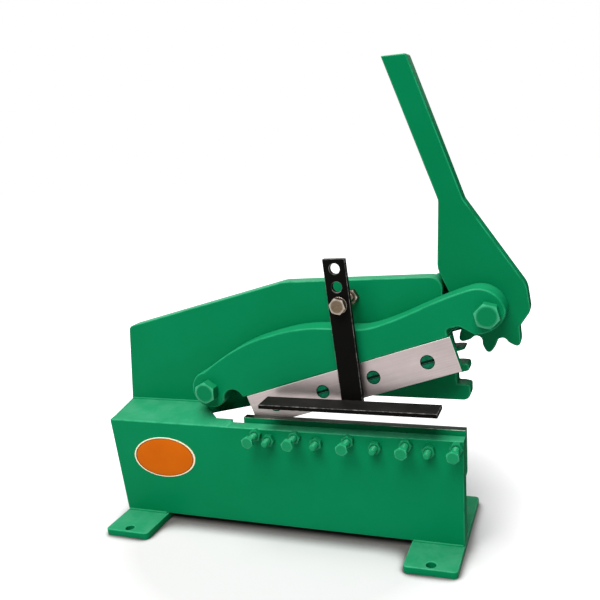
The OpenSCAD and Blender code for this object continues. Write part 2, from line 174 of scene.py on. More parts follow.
def buildGrindLines():
    given = {"Place": ("NodeSocketVector", None), **numbers("Fine", "Stretch")}
    tree, source, result = newGroup("grindLines", "ShaderNodeTree", given, {"Line": number, "Stain": number})
    along = addNode(tree, "ShaderNodeCombineXYZ", {0: source["Stretch"], 1: 1.0, 2: 1.0}).outputs[0]
    stretched = addNode(tree, "ShaderNodeVectorMath", {0: source["Place"], 1: along}, operation="MULTIPLY")
    plug(tree, noise(tree, stretched.outputs[0], source["Fine"], grindSettings["detail"]), result["Line"])
    stains = noise(tree, source["Place"], *(grindSettings[k] for k in ("stainScale", "stainDetail", "stainRough")))
    plug(tree, spread(tree, stains, *grindSettings["stainSpan"]), result["Stain"])
    return tree


edgeWearAndPaintedLight = buildEdgeWearAndPaintedLight()
paintSkin = buildPaintSkin()
dustAndSheenFilm = buildDustAndSheenFilm()
grindLines = buildGrindLines()


def useGroup(tree, group, **feeds):
    node = addNode(tree, "ShaderNodeGroup", node_tree=group)
    for label, value in feeds.items():
        plug(tree, value, node.inputs[label])
    return node.outputs


def newMaterial(name, **constants):
    material = bpy.data.materials.new(name)
    material.use_nodes = True
    tree = material.node_tree
    shader = tree.nodes["Principled BSDF"]
    for label, value in constants.items():
        shader.inputs[label.replace("_", " ")].default_value = value
    return material, tree, shader.inputs


def rimMask(tree):
    return addNode(tree, "ShaderNodeAttribute", attribute_name="rim").outputs["Fac"]


def setBump(tree, sockets, height, strength, depth):
    bump = addNode(tree, "ShaderNodeBump", {"Strength": strength, "Distance": depth * mm, "Height": height})
    plug(tree, bump.outputs[0], sockets["Normal"])


# paints: body colour in two tones, edge wear that also carries painted highlights (on the screws a painted shade),
# dust on top that is also a painted sheen
def paint(name, look):
    material, tree, sockets = newMaterial(name, IOR=look["ior"])
    skin = useGroup(tree, paintSkin, Peel=look["peel"], Cloud=look["cloud"])
    rim = rimMask(tree)
    rimWearAndLight = useGroup(tree, edgeWearAndPaintedLight, Rim=rim, Scale=look["wearAndLightScale"], Amount=look["wearAndLightAmount"])
    dustAndSheen = useGroup(tree, dustAndSheenFilm, Amount=look["dustAndSheenAmount"])
    body = blendColour(tree, skin["Tone"], look["deep"], look["light"])
    rubbedAndLit = blendColour(tree, rimWearAndLight["WearAndPaintedLight"], body, look["edge"])
    plug(tree, blendColour(tree, dustAndSheen["DustAndSheen"], rubbedAndLit, look["dustAndSheen"]), sockets["Base Color"])
    sheen = spread(tree, skin["Tone"], 0.0, 1.0, *look["roughness"])
    dulled = calc(tree, "MULTIPLY_ADD", dustAndSheen["DustAndSheen"], dustAndSheenSettings["roughness"], sheen)
    plug(tree, dulled, sockets["Roughness"])
    plug(tree, spread(tree, rim, 0.0, 1.0, *look["gloss"]), sockets["Specular IOR Level"])
    setBump(tree, sockets, skin["Height"], look["peelStrength"], look["peelDepth"])
    return material


greenLook = {
    "deep": (0.0010, 0.184, 0.066, 1), "light": (0.0014, 0.208, 0.079, 1),
    "edge": (0.012, 0.27, 0.115, 1), "dustAndSheen": (0.14, 0.42, 0.29, 1),
    "roughness": (0.30, 0.40), "ior": 1.45, "gloss": (0.030, 0.13),
    "peel": 420.0, "cloud": 9.0, "peelStrength": 0.35, "peelDepth": 0.12,
    "wearAndLightScale": 60.0, "wearAndLightAmount": 0.55, "dustAndSheenAmount": 0.27,
}
blackLook = {
    "deep": (0.0026, 0.0025, 0.0022, 1), "light": (0.0044, 0.0042, 0.0038, 1),
    "edge": (0.16, 0.15, 0.14, 1), "dustAndSheen": (0.06, 0.057, 0.053, 1),
    "roughness": (0.36, 0.48), "ior": 1.45, "gloss": (0.02, 0.30),
    "peel": 520.0, "cloud": 14.0, "peelStrength": 0.30, "peelDepth": 0.10,
    "wearAndLightScale": 110.0, "wearAndLightAmount": 0.47, "dustAndSheenAmount": 0.20,
}
# blade screws: mottled green, and a near-black edge colour on almost every rim, a painted shade in the gap round
# each head
screwLook = {
    **greenLook,
    "deep": (0.0012, 0.060, 0.028, 1), "light": (0.003, 0.165, 0.078, 1), "edge": (0.001, 0.014, 0.007, 1),
    "gloss": (0.06, 0.06), "wearAndLightAmount": 0.95, "cloud": 210.0,
}
# countersinks of the blade screws: near-black green, a painted shade in the recess
sunkShadeLook = {
    **screwLook,
    "deep": (0.0005, 0.010, 0.005, 1), "light": (0.0008, 0.018, 0.009, 1), "edge": (0.001, 0.030, 0.015, 1),
}
castLook = {**greenLook, "edge": (0.008, 0.25, 0.105, 1), "dustAndSheenAmount": 0.07}
# a darker copy of the cast green for the lever, a painted shade; the pivot and nut looks below start from it
shadedLeverLook = {**castLook, "deep": (0.0009, 0.162, 0.056, 1), "light": (0.0012, 0.184, 0.067, 1)}
# pivot bolts and nuts: the darker lever green, with a lighter and glossier edge colour, a painted highlight on
# their chamfers
pivotLook = {
    **shadedLeverLook,
    "edge": (0.022, 0.31, 0.145, 1), "wearAndLightAmount": 0.7, "gloss": (0.04, 0.42), "roughness": (0.20, 0.30),
}
# row nuts: the darker lever green, a painted shade beside the heads
shadedNutLook = {
    **shadedLeverLook,
    "edge": (0.006, 0.225, 0.094, 1), "wearAndLightAmount": 0.6, "gloss": (0.05, 0.17), "roughness": (0.22, 0.32),
}
# row heads and studs: a lighter green than the plate's paint, a painted highlight for the light they catch
litRowLook = {
    **shadedNutLook,
    "deep": (0.004, 0.222, 0.085, 1), "light": (0.005, 0.252, 0.100, 1), "edge": (0.020, 0.31, 0.14, 1),
    "gloss": (0.09, 0.30),
}
greenEnamel = paint("greenEnamel", greenLook)
castEnamel = paint("castEnamel", castLook)
shadedLeverEnamel = paint("shadedLeverEnamel", shadedLeverLook)
shadedNutEnamel = paint("shadedNutEnamel", shadedNutLook)
pivotEnamel = paint("pivotEnamel", pivotLook)
litRowEnamel = paint("litRowEnamel", litRowLook)
screwEnamel = paint("screwEnamel", screwLook)
sunkShadeEnamel = paint("sunkShadeEnamel", sunkShadeLook)
satinBlack = paint("satinBlack", blackLook)


# bare metals: stained ground, fine lines, brighter edges that are partly wear and partly a painted highlight
def metal(name, look, tilt=0.0):
    material, tree, sockets = newMaterial(name, Metallic=1.0)
    turned = addNode(tree, "ShaderNodeMapping", {"Vector": objectPlace(tree), "Rotation": (0, tilt, 0)})
    lines = useGroup(tree, grindLines, Place=turned.outputs[0], Fine=look["fine"], Stretch=look["stretch"])
    rimWearAndLight = useGroup(tree, edgeWearAndPaintedLight, Rim=rimMask(tree), Scale=look["wearAndLightScale"], Amount=look["wearAndLightAmount"])
    ground = blendColour(tree, lines["Stain"], look["clean"], look["stained"])
    lineShare = spread(tree, lines["Line"], *grindSettings["lineSpan"], 0.0, look["lineShare"])
    lined = blendColour(tree, lineShare, ground, look["line"])
    plug(tree, blendColour(tree, rimWearAndLight["WearAndPaintedLight"], lined, look["edge"]), sockets["Base Color"])
    sheen = spread(tree, lines["Line"], *grindSettings["sheenSpan"], *look["roughness"])
    plug(tree, sheen, sockets["Roughness"])
    setBump(tree, sockets, lines["Line"], look["lineStrength"], look["lineDepth"])
    return material


bladeLook = {
    "clean": (0.40, 0.345, 0.338, 1), "stained": (0.34, 0.290, 0.283, 1), "line": (0.28, 0.235, 0.228, 1),
    "edge": (0.56, 0.53, 0.52, 1), "lineShare": 0.35, "roughness": (0.36, 0.50),
    "fine": 1500.0, "stretch": 0.012, "lineStrength": 0.25, "lineDepth": 0.05,
    "wearAndLightScale": 40.0, "wearAndLightAmount": 0.75,
}
boltLook = {
    "clean": (0.155, 0.118, 0.078, 1), "stained": (0.085, 0.060, 0.038, 1), "line": (0.055, 0.040, 0.027, 1),
    "edge": (0.34, 0.30, 0.255, 1), "lineShare": 0.45, "roughness": (0.34, 0.50),
    "fine": 700.0, "stretch": 0.5, "lineStrength": 0.30, "lineDepth": 0.06,
    "wearAndLightScale": 150.0, "wearAndLightAmount": 0.65,
}
# top of the lower blade: dark greenish steel, a painted shade of the strip and jaw above it
shadedCutLook = {
    **bladeLook,
    "clean": (0.080, 0.105, 0.082, 1), "stained": (0.038, 0.062, 0.044, 1), "line": (0.026, 0.036, 0.027, 1),
    "edge": (0.30, 0.28, 0.26, 1), "roughness": (0.30, 0.45), "wearAndLightScale": 25.0, "wearAndLightAmount": 0.42,
}
bladeTilt = math.radians(17.75)
upperSteel = metal("groundUpperBlade", bladeLook, bladeTilt)
shadedLowerSteel = metal("groundLowerBladeShaded", shadedCutLook)
boltSteel = metal("wornBoltSteel", boltLook)
print("materials made")


# copies of the solids, merged and with softened edges; lengths in mm, angles in degrees
edgeSettings = {
    "weldDist": 0.002, "level": 0.002, "flatAngle": 0.4, "sharpAngle": 20.0, "smoothAngle": 42.0,
    "steps": 3, "profile": 0.5, "holeEdge": 0.3, "holeReach": 11.0, "sameReach": 0.02, "flushGap": 0.02,
}
weldDist = edgeSettings["weldDist"] * mm


def merged(nodeName):
    bm = bmesh.new()
    bm.from_mesh(frame["nodes"][nodeName].data)
    bmesh.ops.remove_doubles(bm, verts=bm.verts, dist=weldDist)
    flat = math.radians(edgeSettings["flatAngle"])
    bmesh.ops.dissolve_limit(bm, angle_limit=flat, verts=bm.verts, edges=bm.edges)
    bm.normal_update()
    return bm


def islandBoxes(nodeName):
    bm = merged(nodeName)
    left = set(bm.verts)
    boxes = []
    while left:
        reached = [left.pop()]
        for vert in reached:
            fresh = [e.other_vert(vert) for e in vert.link_edges if e.other_vert(vert) in left]
            left.difference_update(fresh)
            reached.extend(fresh)
        low = Vector([min(v.co[i] for v in reached) for i in range(3)])
        high = Vector([max(v.co[i] for v in reached) for i in range(3)])
        boxes.append((low, high))
    bm.free()
    return sorted(boxes, key=lambda pair: pair[0].x)


boltNodes = ("push_bolts", "blade_studs", "main_bolt", "handle_bolt", "hold_down_bolt", "blade_screws")
boltAxes = [(low + high) / 2 for n in boltNodes for low, high in islandBoxes(n)]


def reachFrom(axis, place):
    return math.hypot(place.x - axis.x, place.z - axis.z)


def onHole(edge):
    for axis in boltAxes:
        near, far = sorted(reachFrom(axis, v.co) for v in edge.verts)
        if far < edgeSettings["holeReach"] * mm and far - near < edgeSettings["sameReach"] * mm:
            return True
    return False


def soften(bm, width, chosen, rim):
    if not chosen:
        return
    made = bmesh.ops.bevel(bm, geom=chosen, offset=width * mm, offset_type="OFFSET",
                           profile=edgeSettings["profile"], segments=edgeSettings["steps"],
                           affect="EDGES", clamp_overlap=False, loop_slide=False)
    for face in made["faces"]:
        # softened faces are marked as rims, which take the edge colour: edge wear and a painted highlight
        face[rim] = 1.0
    bm.normal_update()


def isFlush(edge, flush):
    gap = edgeSettings["flushGap"] * mm
    return any(all(abs(v.co[axis] - at * mm) < gap for v in edge.verts) for axis, at in flush)


def hardEdges(bm, flush):
    limit = math.radians(edgeSettings["sharpAngle"])
    for edge in bm.edges:
        folded = len(edge.link_faces) == 2 and edge.calc_face_angle(0.0) >= limit
        if folded and not isFlush(edge, flush):
            yield edge


# softening moves the corners of the flat faces, so these are filled again between their new edges
def refill(bm, axis):
    step = edgeSettings["level"] * mm

    def level(item):
        places = [v.co[axis] for v in item.verts]
        return round(places[0] / step) if max(places) - min(places) < step else None

    bmesh.ops.remove_doubles(bm, verts=bm.verts, dist=weldDist)
    bmesh.ops.dissolve_degenerate(bm, dist=weldDist, edges=bm.edges)
    bmesh.ops.delete(bm, geom=[f for f in bm.faces if level(f) is not None], context="FACES")
    loops = {}
    for edge in bm.edges:
        if edge.is_boundary:
            loops.setdefault(level(edge), []).append(edge)
    outward = Vector([float(i == axis) for i in range(3)])
    for edges in loops.values():
        bmesh.ops.triangle_fill(bm, edges=edges, use_beauty=True, normal=outward)
    bmesh.ops.recalc_face_normals(bm, faces=bm.faces)


def toMesh(name, bm):
    bm.normal_update()
    limit = math.radians(edgeSettings["smoothAngle"])
    for face in bm.faces:
        face.smooth = True
    for edge in bm.edges:
        edge.smooth = edge.calc_face_angle(0.0) < limit
    mesh = bpy.data.meshes.new(name)
    bm.to_mesh(mesh)
    bm.free()
    return mesh


def newPiece(name, mesh, materials):
    for material in materials:
        mesh.materials.append(material)
    piece = bpy.data.objects.new(name, mesh)
    scene.collection.objects.link(piece)
    return piece


def dress(nodeName, name, coats, slot, edge, holeEdge=edgeSettings["holeEdge"], flush=(), axis=1, finish=None):
    bm = merged(nodeName)
    rim = bm.faces.layers.float.new("rim")
    soften(bm, holeEdge, [e for e in hardEdges(bm, flush) if onHole(e)], rim)
    outer = [e for e in hardEdges(bm, flush) if not onHole(e) and not any(f[rim] for f in e.link_faces)]
    soften(bm, edge, outer, rim)
    refill(bm, axis)
    if finish:
        for face in bm.faces:
            face.material_index = finish(face)
    piece = newPiece(name, toMesh(name, bm), coats)
    piece.modifiers.new("evenShading", "WEIGHTED_NORMAL").keep_sharp = True
    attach(piece, bodyOf[nodeName])
    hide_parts(nodeName)


# coats of the blades: painted back, ground working face, painted shade in the countersinks
coatSettings = {"sunkReach": 10.0, "flatFront": -0.95, "frontSide": -0.3, "topSide": 0.3}


def upperCoat(face):
    middle = face.calc_center_median()
    sunk = any(reachFrom(axis, middle) < coatSettings["sunkReach"] * mm for axis in boltAxes)
    if sunk and face.normal.y > coatSettings["flatFront"]:
        return 2
    return int(face.normal.y < coatSettings["frontSide"])


def lowerCoat(face):
    return int(face.normal.z > coatSettings["topSide"])


# edges that meet another plate stay sharp: axis and place of each such plane, in mm
plateFront, plateBack, frameFront, frameBack = -33.0, -18.0, 25.1, 45.1
greenSlot, groundSlot, bareSlot, blackSlot = "green_paint", "ground_steel", "bare_steel", "black_paint"
dressed = {
    "front_plate": {"name": "frontPlate", "coats": [greenEnamel], "slot": greenSlot, "edge": 1.5,
                    "flush": ((1, plateBack),)},
    "shelf_plate": {"name": "shelf", "coats": [greenEnamel], "slot": greenSlot, "edge": 1.2,
                    "flush": ((1, plateBack), (1, frameFront))},
    "frame_plate": {"name": "framePlate", "coats": [greenEnamel], "slot": greenSlot, "edge": 1.5},
    "blade_seat": {"name": "bladeSeat", "coats": [greenEnamel], "slot": greenSlot, "edge": 0.8},
    "main_washers": {"name": "mainWashers", "coats": [greenEnamel], "slot": greenSlot, "edge": 0.4},
    "jaw": {"name": "jawCasting", "coats": [castEnamel], "slot": greenSlot, "edge": 1.8},
    "rear_link": {"name": "rearLink", "coats": [castEnamel], "slot": greenSlot, "edge": 1.2},
    "handle_washers": {"name": "handleWashers", "coats": [greenEnamel], "slot": greenSlot, "edge": 0.4},
    "handle": {"name": "handLever", "coats": [shadedLeverEnamel], "slot": greenSlot, "edge": 1.3},
    "foot_left": {"name": "leftFoot", "coats": [greenEnamel], "slot": greenSlot, "edge": 1.2, "axis": 2},
    "foot_right": {"name": "rightFoot", "coats": [greenEnamel], "slot": greenSlot, "edge": 1.2, "axis": 2},
    "blade_screws": {"name": "bladeScrews", "coats": [screwEnamel], "slot": greenSlot, "edge": 0.3,
                     "holeEdge": 0.9},
    "upper_blade": {"name": "upperBlade", "coats": [greenEnamel, upperSteel, sunkShadeEnamel], "slot": groundSlot,
                    "edge": 0.5, "finish": upperCoat},
    "lower_blade": {"name": "lowerBlade", "coats": [greenEnamel, shadedLowerSteel], "slot": greenSlot,
                    "edge": 0.5, "finish": lowerCoat},
    "hold_down_post": {"name": "holdDownPost", "coats": [satinBlack], "slot": blackSlot, "edge": 0.6},
    "hold_down_strip": {"name": "holdDownStrip", "coats": [satinBlack], "slot": blackSlot, "edge": 0.6},
    "hold_down_washer": {"name": "holdDownWasher", "coats": [boltSteel], "slot": bareSlot, "edge": 0.4},
}
for nodeName, settings in dressed.items():
    dress(nodeName, **settings)
print("solids dressed")


# hexagons and threads in geometry nodes: a grid is rolled up round the bolt's axis, row by row
def indexSwitch(tree, index, values):
    node = addNode(tree, "GeometryNodeIndexSwitch", data_type="FLOAT")
    while len(node.index_switch_items) < len(values):
        node.index_switch_items.new()
    plug(tree, index, node.inputs[0])
    for i, value in enumerate(values):
        plug(tree, value, node.inputs[i + 1])
    return node.outputs[0]


def turnedGrid(tree, around, rows):
    grid = addNode(tree, "GeometryNodeMeshGrid", {0: 1.0, 1: 1.0, 2: around + 1, 3: rows})
    place = addNode(tree, "ShaderNodeSeparateXYZ", {0: addNode(tree, "GeometryNodeInputPosition").outputs[0]})
    turn = calc(tree, "MULTIPLY", calc(tree, "ADD", place.outputs["X"], 0.5), 2 * math.pi)
    lastRow = calc(tree, "SUBTRACT", rows, 1)
    row = calc(tree, "ROUND", calc(tree, "MULTIPLY", calc(tree, "ADD", place.outputs["Y"], 0.5), lastRow))
    return grid.outputs["Mesh"], turn, row, lastRow


seamGap = 0.004 * mm


def finishRow(tree, source, result, mesh, turn, radius, along, rim):
    sideways = calc(tree, "MULTIPLY", radius, calc(tree, "SINE", turn))
    upright = calc(tree, "MULTIPLY", radius, calc(tree, "COSINE", turn))
    forward = calc(tree, "MULTIPLY", along, -1.0)
    place = addNode(tree, "ShaderNodeCombineXYZ", {0: sideways, 1: forward, 2: upright})
    marked = addNode(tree, "GeometryNodeStoreNamedAttribute", {"Geometry": mesh, "Name": "rim", "Value": rim},
                     data_type="FLOAT", domain="POINT")
    shaped = addNode(tree, "GeometryNodeSetPosition", {"Geometry": marked.outputs[0], "Position": place.outputs[0]})
    closed = addNode(tree, "GeometryNodeMergeByDistance", {"Geometry": shaped.outputs[0], "Distance": seamGap})
    spin = addNode(tree, "FunctionNodeRandomValue", {2: 0.0, 3: source["Vary"], 8: source["Seed"]},
                   data_type="FLOAT")
    turned = calc(tree, "ADD", source["Turn"], spin.outputs[1])
    lean = addNode(tree, "ShaderNodeCombineXYZ", {1: turned, 2: source["Back"]})
    copies = addNode(tree, "GeometryNodeInstanceOnPoints",
                     {"Points": source["Geometry"], "Instance": closed.outputs[0], "Rotation": lean.outputs[0]})
    real = addNode(tree, "GeometryNodeRealizeInstances", {0: copies.outputs[0]})
    plug(tree, real.outputs[0], result["Geometry"])
    return tree


def rowGroup(name, given):
    turning = {"Seed": (wholeNumber, 1), "Turn": (number, 0.0),
               "Vary": (number, math.pi / 3), "Back": (number, 0.0)}
    given = {"Geometry": (geometry, None), **turning, **given}
    return newGroup(name, "GeometryNodeTree", given, {"Geometry": geometry})


# corner and crown are shares of the half width, the soft ones are shares of the softening
hexSettings = {
    "around": 72, "headRows": 9, "nutRows": 10, "boreGap": 0.05, "faintRim": 0.4,
    "corner": 1.14, "crown": 0.95, "slope": math.radians(30),
    "crownSoft": 2.0, "topSoft": 0.6, "flatSoft": 3.0, "mouthSoft": 2.0,
}


def hexTree(name, bored):
    tree, source, result = rowGroup(name, numbers("Across", "Height", "Bore", "Soft"))
    rows = hexSettings["nutRows" if bored else "headRows"]
    mesh, turn, row, _ = turnedGrid(tree, hexSettings["around"], rows)
    soft, bore, top = source["Soft"], source["Bore"], source["Height"]

    def within(value, share=1.0):
        return calc(tree, "SUBTRACT", value, calc(tree, "MULTIPLY", soft, share))

    sector = math.pi / 3
    bend = calc(tree, "SUBTRACT", calc(tree, "FLOORED_MODULO", turn, sector), sector / 2)
    flat = calc(tree, "MULTIPLY", source["Across"], 0.5)
    sharp = calc(tree, "DIVIDE", flat, calc(tree, "COSINE", bend))
    corner = calc(tree, "MINIMUM", sharp, calc(tree, "MULTIPLY", flat, hexSettings["corner"]))
    crown = calc(tree, "MULTIPLY", flat, hexSettings["crown"])
    drop = calc(tree, "MULTIPLY", calc(tree, "SUBTRACT", corner, crown), math.tan(hexSettings["slope"]))
    shoulder = calc(tree, "SUBTRACT", top, drop)
    crownIn = within(crown, hexSettings["crownSoft"])
    nearTop = within(top, hexSettings["topSoft"])
    faint = hexSettings["faintRim"]
    if bored:
        mouth = calc(tree, "ADD", bore, calc(tree, "MULTIPLY", soft, hexSettings["mouthSoft"]))
        start, close = bore, [mouth, bore, bore]
        levels = [top, within(top, hexSettings["mouthSoft"]), 0.0]
        marks = [faint, 0.0, 0.0]
    else:
        start, close = 0.0, [within(crownIn, hexSettings["flatSoft"]), 0.0]
        levels = [top, top]
        marks = [0.0, 0.0]
    radii = [start, within(corner), corner, corner, corner, crown, crownIn, *close]
    alongs = [0.0, 0.0, soft, within(shoulder), shoulder, nearTop, top, *levels]
    # rows marked as rims take the edge colour: a painted highlight on the chamfers, besides wear
    rims = [0.0, 0.0, 0.0, 0.0, 1.0, 1.0, faint, *marks]
    return finishRow(tree, source, result, mesh, turn, *(indexSwitch(tree, row, v) for v in (radii, alongs, rims)))


threadSettings = {
    "around": 28, "rowsPerTurn": 6, "capRows": 3, "tip": 1.6, "tolerance": 1e-4,
    "crestSpan": (0.0, 0.5), "crestRim": (0.6, 0.0),
}


def threadTree(name):
    given = {**numbers("Radius", "Depth", "Pitch", "Length"), "Rows": (wholeNumber, None)}
    tree, source, result = rowGroup(name, given)
    mesh, turn, row, lastRow = turnedGrid(tree, threadSettings["around"], source["Rows"])
    share = calc(tree, "DIVIDE", calc(tree, "SUBTRACT", row, 1.0), calc(tree, "SUBTRACT", lastRow, 2.0))
    inside = addNode(tree, "ShaderNodeClamp", {0: share}).outputs[0]
    along = calc(tree, "MULTIPLY", inside, source["Length"])
    turns = calc(tree, "DIVIDE", along, source["Pitch"])
    phase = calc(tree, "SUBTRACT", turns, calc(tree, "DIVIDE", turn, 2 * math.pi))
    ridge = calc(tree, "ABSOLUTE", calc(tree, "MULTIPLY_ADD", calc(tree, "FRACT", phase), 2.0, -1.0))
    thread = calc(tree, "SUBTRACT", source["Radius"], calc(tree, "MULTIPLY", ridge, source["Depth"]))
    toEnd = calc(tree, "SUBTRACT", source["Length"], along)
    tipDepth = calc(tree, "MULTIPLY", source["Depth"], threadSettings["tip"])
    tip = calc(tree, "ADD", calc(tree, "SUBTRACT", source["Radius"], tipDepth), toEnd)
    shown = calc(tree, "COMPARE", share, inside, threadSettings["tolerance"])
    radius = calc(tree, "MULTIPLY", calc(tree, "MINIMUM", thread, tip), shown)
    # thread crests are marked as rims, which the paints turn lighter: a painted highlight on the crests, besides
    # wear
    crest = spread(tree, ridge, *threadSettings["crestSpan"], *threadSettings["crestRim"])
    return finishRow(tree, source, result, mesh, turn, radius, along, crest)


hexHead = hexTree("hexHead", False)
hexNut = hexTree("hexNut", True)
threadRod = threadTree("threadRod")


def runTree(tree, points, edges=(), **values):
    mesh = bpy.data.meshes.new("places")
    mesh.from_pydata([tuple(p) for p in points], edges, [])
    carrier = bpy.data.objects.new("places", mesh)
    scene.collection.objects.link(carrier)
    modifier = carrier.modifiers.new("shape", "NODES")
    modifier.node_group = tree
    for item in tree.interface.items_tree:
        if item.item_type == "SOCKET" and item.in_out == "INPUT" and item.name in values:
            modifier[item.identifier] = values[item.name]
    depsgraph = bpy.context.evaluated_depsgraph_get()
    shaped = bpy.data.meshes.new_from_object(carrier.evaluated_get(depsgraph), depsgraph=depsgraph)
    bpy.data.objects.remove(carrier)
    bpy.data.meshes.remove(mesh)
    return shaped


def joinMeshes(name, meshes):
    bm = bmesh.new()
    for mesh in meshes:
        bm.from_mesh(mesh)
        bpy.data.meshes.remove(mesh)
    bmesh.ops.recalc_face_normals(bm, faces=bm.faces)
    return toMesh(name, bm)


def placeRow(name, nodeName, meshes, material, slot):
    piece = newPiece(name, joinMeshes(name, meshes), [material])
    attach(piece, bodyOf[nodeName])
    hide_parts(nodeName)


def endsOf(nodeName, front):
    return [Vector(((low.x + high.x) / 2, low.y if front else high.y, (low.z + high.z) / 2))
            for low, high in islandBoxes(nodeName)]


def threads(nodeName, size, skip=0.0):
    points = endsOf(nodeName, False)
    front = endsOf(nodeName, True)[0].y + skip * mm
    length = points[0].y - front
    rows = int(length / (size["pitch"] * mm) * threadSettings["rowsPerTurn"]) + threadSettings["capRows"]
    return runTree(threadRod, points, Radius=size["radius"] * mm, Rows=rows,
                   Depth=size["depth"] * mm, Pitch=size["pitch"] * mm, Length=length)


def hexes(tree, points, size, height, **turning):
    return runTree(tree, points, Across=size["across"] * mm, Height=height * mm,
                   Bore=(size["radius"] + hexSettings["boreGap"]) * mm, Soft=size["soft"] * mm, **turning)


def nuts(points, size, **turning):
    return hexes(hexNut, points, size, size["nut"], **turning)


def headAndShaft(nodeName, size, **turning):
    seats = [p + Vector((0, size["head"] * mm, 0)) for p in endsOf(nodeName, True)]
    head = hexes(hexHead, seats, size, size["head"], **turning)
    return [head, threads(nodeName, size, size["head"] - size["overlap"])]


rowSize = {
    "radius": 4.0, "across": 13.0, "pitch": 1.25, "depth": 0.62,
    "head": 5.04, "nut": 6.4, "soft": 0.22, "overlap": 0.5,
}
placeRow("pushBolts", "push_bolts", headAndShaft("push_bolts", rowSize, Seed=3), litRowEnamel, greenSlot)
placeRow("bladeStuds", "blade_studs", [threads("blade_studs", rowSize)], litRowEnamel, greenSlot)
placeRow("pushNuts", "push_nuts", [nuts(endsOf("push_nuts", False), rowSize, Seed=8)], shadedNutEnamel, greenSlot)
placeRow("studNuts", "stud_nuts", [nuts(endsOf("stud_nuts", False), rowSize, Seed=5)], shadedNutEnamel, greenSlot)

holdSize = {
    "radius": 5.0, "across": 16.25, "pitch": 1.5, "depth": 0.8,
    "head": 6.3, "nut": 8.0, "soft": 0.35, "overlap": 0.5,
}
placeRow("holdDownBolt", "hold_down_bolt", headAndShaft("hold_down_bolt", holdSize, Seed=4), boltSteel, bareSlot)
nutEnds = sorted(endsOf("hold_down_nuts", False) + endsOf("hold_down_nuts", True), key=lambda p: p.y)
frontNuts = nuts([nutEnds[1], nutEnds[3]], holdSize, Seed=6)
backNut = nuts([nutEnds[4]], holdSize, Seed=2, Back=math.pi)
placeRow("holdDownNuts", "hold_down_nuts", [frontNuts, backNut], boltSteel, bareSlot)

pivotSize = {
    "radius": 8.0, "across": 24.0, "pitch": 2.0, "depth": 1.1,
    "head": 13.0, "nut": 12.8, "soft": 0.45, "overlap": 0.5,
}
pivotTurns = {"main": math.radians(3.0), "handle": math.radians(44.0)}
for pivot, turn in pivotTurns.items():
    bolt = headAndShaft(pivot + "_bolt", pivotSize, Turn=turn, Vary=0.0)
    nut = nuts(endsOf(pivot + "_nut", True), pivotSize, Back=math.pi)
    placeRow(pivot + "Bolt", pivot + "_bolt", bolt, pivotEnamel, greenSlot)
    placeRow(pivot + "Nut", pivot + "_nut", [nut], pivotEnamel, greenSlot)
print("fasteners made")


# weld beads along the joints of the base: span in x, then y and z, in mm
weldSettings = {
    "radius": 1.8, "around": 20, "step": 0.8, "ripple": 0.08, "ripplePitch": 4.0,
    "waveShare": 0.5, "wanderScale": 70.0,
}
leftSpan, rightSpan, shelfSpan = (-218, -162), (162, 218), (-226, -122)
footTop, shelfTop = 9.0, 142.4
weldLines = {
    "leftFootFront": (leftSpan, plateFront, footTop),
    "rightFootFront": (rightSpan, plateFront, footTop),
    "leftFootBack": (leftSpan, plateBack, footTop),
    "rightFootBack": (rightSpan, plateBack, footTop),
    "frameFootFront": (leftSpan, frameFront, footTop),
    "frameFootBack": (leftSpan, frameBack, footTop),
    "shelfFrame": (shelfSpan, frameFront, shelfTop),
}


def buildWeldBead():
    given = {"Geometry": (geometry, None), **numbers("Radius", "Ripple", "RipplePitch", "Step")}
    tree, source, result = newGroup("weldBead", "GeometryNodeTree", given, {"Geometry": geometry})
    line = addNode(tree, "GeometryNodeMeshToCurve", {0: source["Geometry"]})
    fine = addNode(tree, "GeometryNodeResampleCurve", {0: line.outputs[0], 3: source["Step"]}, mode="LENGTH")
    length = addNode(tree, "GeometryNodeSplineParameter").outputs["Length"]
    ripples = calc(tree, "DIVIDE", length, source["RipplePitch"])
    wave = calc(tree, "SINE", calc(tree, "MULTIPLY", ripples, 2 * math.pi))
    place = addNode(tree, "GeometryNodeInputPosition").outputs[0]
    wander = calc(tree, "SUBTRACT", noise(tree, place, weldSettings["wanderScale"]), 0.5)
    share = calc(tree, "ADD", calc(tree, "MULTIPLY", wave, weldSettings["waveShare"]), wander)
    scale = calc(tree, "MULTIPLY_ADD", share, source["Ripple"], 1.0)
    ring = addNode(tree, "GeometryNodeCurvePrimitiveCircle",
                   {"Resolution": weldSettings["around"], "Radius": source["Radius"]})
    bead = addNode(tree, "GeometryNodeCurveToMesh",
                   {"Curve": fine.outputs[0], "Profile Curve": ring.outputs[0], "Scale": scale, "Fill Caps": True})
    real = addNode(tree, "GeometryNodeRealizeInstances", {0: bead.outputs[0]})
    plug(tree, real.outputs[0], result["Geometry"])
    return tree


ends = [Vector((x, y, z)) * mm for span, y, z in weldLines.values() for x in span]
pairs = [(i, i + 1) for i in range(0, len(ends), 2)]
beads = runTree(buildWeldBead(), ends, pairs, Radius=weldSettings["radius"] * mm, Ripple=weldSettings["ripple"],
                RipplePitch=weldSettings["ripplePitch"] * mm, Step=weldSettings["step"] * mm)
welds = newPiece("weldBeads", joinMeshes("weldBeads", [beads]), [greenEnamel])
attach(welds, "base")
print("welds made")


